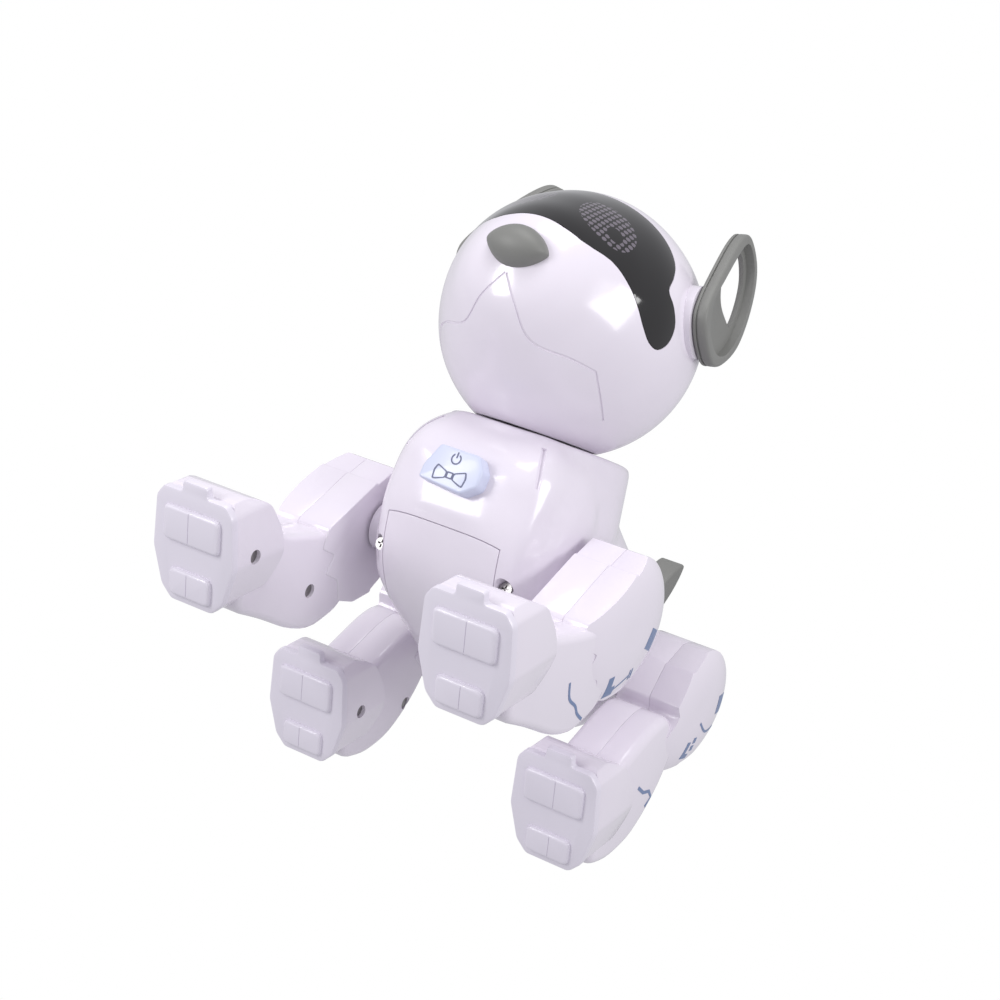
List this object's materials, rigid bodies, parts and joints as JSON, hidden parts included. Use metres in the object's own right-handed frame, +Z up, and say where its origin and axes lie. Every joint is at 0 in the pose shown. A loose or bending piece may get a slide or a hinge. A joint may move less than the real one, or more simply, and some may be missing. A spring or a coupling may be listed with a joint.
{
  "type": "robot dog toy",
  "caption": "Walking toy dog with round head, dark display visor, open loop ears, leaf tail and motor-driven legs with padded feet.",
  "frame": {"origin": "On the ground under the centre of the bounding box, with the dog resting on the heels of its four feet.", "axes": "+Z up, the nose points along -Y, +X is the left side of the dog, X is across its plane of symmetry."},
  "size_m": [0.162, 0.264, 0.2481],
  "materials": {
    "white_shell": "gloss",
    "grey_rubber": "matte",
    "visor_black": "gloss",
    "motor_metal": "satin",
    "screw_steel": "satin",
    "circuit_board": "satin",
    "black_plastic": "matte",
    "inner_plastic": "matte",
    "button_plastic": "satin"
  },
  "bodies": {
    "torso": {"battery_hatch": "white_shell", "battery_pack": "black_plastic", "button_switch": "circuit_board", "charging_inlet": "black_plastic", "chassis_plate": "inner_plastic", "gear_motor_front_left": "motor_metal", "gear_motor_front_right": "motor_metal", "gear_motor_rear_left": "motor_metal", "gear_motor_rear_right": "motor_metal", "leg_bushings": "inner_plastic", "main_board": "circuit_board", "neck_bearing": "inner_plastic", "neck_collar": "white_shell", "speaker": "black_plastic", "tail": "grey_rubber", "torso_lower_shell": "white_shell", "torso_screws": "screw_steel", "torso_upper_shell": "white_shell"},
    "head": {"ear_bosses": "white_shell", "eye_displays": "circuit_board", "head_board": "circuit_board", "head_floor_plate": "inner_plastic", "head_lower_shell": "white_shell", "head_upper_shell": "white_shell", "neck_post": "inner_plastic", "nose": "grey_rubber", "touch_sensor": "circuit_board", "visor": "visor_black"},
    "power_button": {"power_button": "button_plastic"},
    "ear_left": {"ear_left": "grey_rubber"},
    "ear_right": {"ear_right": "grey_rubber"},
    "leg_front_left": {"front_left_hub": "inner_plastic", "front_left_paw": "white_shell", "front_left_screws": "screw_steel", "front_left_shin": "white_shell", "front_left_sole": "white_shell", "front_left_thigh_inner": "white_shell", "front_left_thigh_outer": "white_shell"},
    "leg_front_right": {"front_right_hub": "inner_plastic", "front_right_paw": "white_shell", "front_right_screws": "screw_steel", "front_right_shin": "white_shell", "front_right_sole": "white_shell", "front_right_thigh_inner": "white_shell", "front_right_thigh_outer": "white_shell"},
    "leg_rear_left": {"rear_left_hub": "inner_plastic", "rear_left_paw": "white_shell", "rear_left_screws": "screw_steel", "rear_left_shin": "white_shell", "rear_left_sole": "white_shell", "rear_left_thigh_inner": "white_shell", "rear_left_thigh_outer": "white_shell"},
    "leg_rear_right": {"rear_right_hub": "inner_plastic", "rear_right_paw": "white_shell", "rear_right_screws": "screw_steel", "rear_right_shin": "white_shell", "rear_right_sole": "white_shell", "rear_right_thigh_inner": "white_shell", "rear_right_thigh_outer": "white_shell"}
  },
  "joints": [
    {"name": "front_left_swing", "type": "hinge", "parent": "torso", "child": "leg_front_left", "pos_m": [0.045, -0.02846, 0.08327], "axis": [1, 0, 0], "range_deg": [-40, 22]},
    {"name": "front_right_swing", "type": "hinge", "parent": "torso", "child": "leg_front_right", "pos_m": [-0.045, -0.02846, 0.08327], "axis": [1, 0, 0], "range_deg": [-40, 22]},
    {"name": "rear_left_swing", "type": "hinge", "parent": "torso", "child": "leg_rear_left", "pos_m": [0.045, 0.0658, 0.09684], "axis": [1, 0, 0], "range_deg": [0, 75]},
    {"name": "rear_right_swing", "type": "hinge", "parent": "torso", "child": "leg_rear_right", "pos_m": [-0.045, 0.0658, 0.09684], "axis": [1, 0, 0], "range_deg": [0, 75]},
    {"name": "head_turn", "type": "hinge", "parent": "torso", "child": "head", "pos_m": [0, -0.035, 0.141], "axis": [0, -0.4384, 0.8988], "range_deg": [-30, 30]},
    {"name": "ear_left_swivel", "type": "hinge", "parent": "head", "child": "ear_left", "pos_m": [0.052, -0.0637, 0.1965], "axis": [0.9781, 0, 0.2079], "range_deg": [-35, 35]},
    {"name": "ear_right_swivel", "type": "hinge", "parent": "head", "child": "ear_right", "pos_m": [-0.052, -0.0637, 0.1965], "axis": [0.9781, 0, -0.2079], "range_deg": [-35, 35]},
    {"name": "button_press", "type": "slide", "parent": "torso", "child": "power_button", "axis": [0, 0.9511, 0.309], "range_m": [0, 0.0012], "stiffness_N_per_m": 800, "springref_m": -0.0004}
  ]
}
